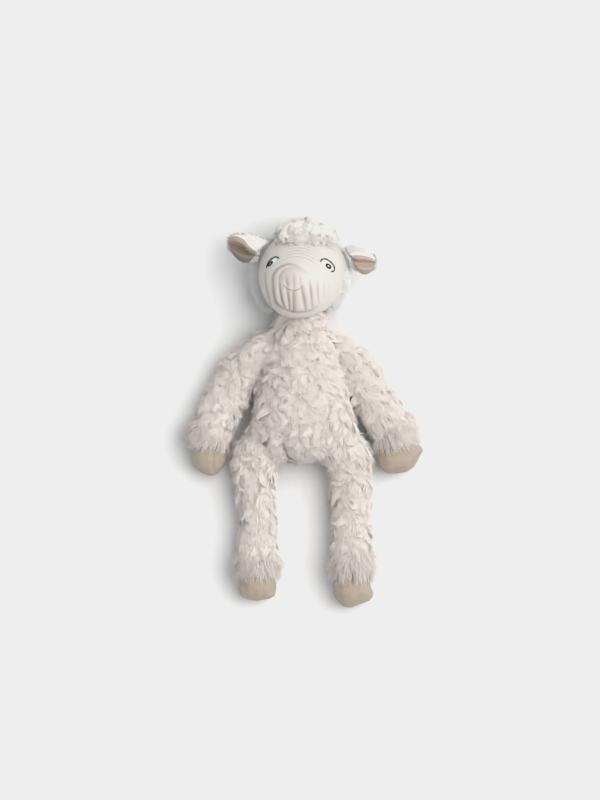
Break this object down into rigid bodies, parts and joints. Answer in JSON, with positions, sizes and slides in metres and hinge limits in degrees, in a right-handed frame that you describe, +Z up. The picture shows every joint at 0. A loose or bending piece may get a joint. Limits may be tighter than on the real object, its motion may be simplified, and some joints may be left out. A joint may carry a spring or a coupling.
{
  "type": "plush sheep",
  "caption": "Soft toy sheep lying on its back, with a curly fur body, a corduroy face, floppy ears and suede hooves on long jointed limbs.",
  "frame": {"origin": "on the table, under the centre of the toy's box", "axes": "+Y from the feet to the head, +Z up out of the chest, +X to the toy's own left"},
  "size_m": [0.209, 0.35, 0.0919],
  "materials": {
    "cream_fur": "curly long pile, matt",
    "white_plush": "short plush, matt",
    "corduroy": "wide-wale corduroy",
    "pink_taupe_fur": "long straight pile",
    "suede": "brushed suede cloth",
    "ear_velvet": "short velvet",
    "black_thread": "satin stitch",
    "white_thread": "satin stitch",
    "brown_thread": "satin stitch",
    "stuffing": "loose fibre"
  },
  "bodies": {
    "torso": {"body_front_panel": "cream_fur", "body_back_panel": "cream_fur", "body_stuffing": "stuffing"},
    "neck": {"neck_cover": "cream_fur", "neck_stuffing": "stuffing"},
    "head": {"forehead_panel": "corduroy", "muzzle_panel": "corduroy", "head_back_panel": "white_plush", "head_stuffing": "stuffing", "crown_tuft": "cream_fur", "left_eye_white": "white_thread", "left_eye_pupil": "black_thread", "left_eye_lid": "black_thread", "right_eye_white": "white_thread", "right_eye_pupil": "black_thread", "right_eye_lid": "black_thread", "nose_stitch": "brown_thread", "mouth_stitch": "brown_thread"},
    "left_ear": {"left_ear_outer": "white_plush", "left_ear_lining": "ear_velvet"},
    "right_ear": {"right_ear_outer": "white_plush", "right_ear_lining": "ear_velvet"},
    "left_arm": {"left_arm_sleeve": "cream_fur", "left_arm_stuffing": "stuffing", "left_arm_cuff": "pink_taupe_fur"},
    "right_arm": {"right_arm_sleeve": "cream_fur", "right_arm_stuffing": "stuffing", "right_arm_cuff": "pink_taupe_fur"},
    "left_leg": {"left_leg_sleeve": "cream_fur", "left_leg_stuffing": "stuffing", "left_leg_cuff": "pink_taupe_fur"},
    "right_leg": {"right_leg_sleeve": "cream_fur", "right_leg_stuffing": "stuffing", "right_leg_cuff": "pink_taupe_fur"},
    "left_hand": {"left_hand_hoof_cover": "suede", "left_hand_hoof_stuffing": "stuffing"},
    "right_hand": {"right_hand_hoof_cover": "suede", "right_hand_hoof_stuffing": "stuffing"},
    "left_foot": {"left_foot_hoof_cover": "suede", "left_foot_hoof_stuffing": "stuffing"},
    "right_foot": {"right_foot_hoof_cover": "suede", "right_foot_hoof_stuffing": "stuffing"}
  },
  "joints": [
    {"name": "neck_turn", "type": "hinge", "parent": "torso", "child": "neck", "pos_m": [-0.001, 0.087, 0.0365], "axis": [0, 1, 0], "range_deg": [-30, 30], "stiffness_Nm_per_rad": 0.02},
    {"name": "head_nod", "type": "hinge", "parent": "neck", "child": "head", "pos_m": [-0.001, 0.087, 0.0365], "axis": [1, 0, 0], "range_deg": [0, 25]},
    {"name": "left_shoulder", "type": "hinge", "parent": "torso", "child": "left_arm", "pos_m": [0.039, 0.057, 0.024], "axis": [-1, 0, 0], "range_deg": [0, 120]},
    {"name": "right_shoulder", "type": "hinge", "parent": "torso", "child": "right_arm", "pos_m": [-0.041, 0.058, 0.024], "axis": [-1, 0, 0], "range_deg": [0, 120]},
    {"name": "left_hip", "type": "hinge", "parent": "torso", "child": "left_leg", "pos_m": [0.042, -0.039, 0.022], "axis": [-1, 0, 0], "range_deg": [0, 90]},
    {"name": "right_hip", "type": "hinge", "parent": "torso", "child": "right_leg", "pos_m": [-0.045, -0.039, 0.022], "axis": [-1, 0, 0], "range_deg": [0, 90]},
    {"name": "left_wrist", "type": "hinge", "parent": "left_arm", "child": "left_hand", "pos_m": [0.0845, -0.026, 0.0215], "axis": [-1, 0, 0], "range_deg": [0, 30]},
    {"name": "right_wrist", "type": "hinge", "parent": "right_arm", "child": "right_hand", "pos_m": [-0.0845, -0.026, 0.0215], "axis": [-1, 0, 0], "range_deg": [0, 30]},
    {"name": "left_ankle", "type": "hinge", "parent": "left_leg", "child": "left_foot", "pos_m": [0.044, -0.142, 0.022], "axis": [-1, 0, 0], "range_deg": [0, 30]},
    {"name": "right_ankle", "type": "hinge", "parent": "right_leg", "child": "right_foot", "pos_m": [-0.0405, -0.142, 0.022], "axis": [-1, 0, 0], "range_deg": [0, 30]},
    {"name": "left_ear_flop", "type": "hinge", "parent": "head", "child": "left_ear", "pos_m": [0.03773, 0.138, 0.046], "axis": [-0.0273, -0.8849, -0.4649], "range_deg": [-45, 25], "stiffness_Nm_per_rad": 0.01},
    {"name": "right_ear_flop", "type": "hinge", "parent": "head", "child": "right_ear", "pos_m": [-0.0337, 0.145, 0.046], "axis": [0.3062, 0.8307, 0.4649], "range_deg": [-45, 25], "stiffness_Nm_per_rad": 0.01}
  ]
}
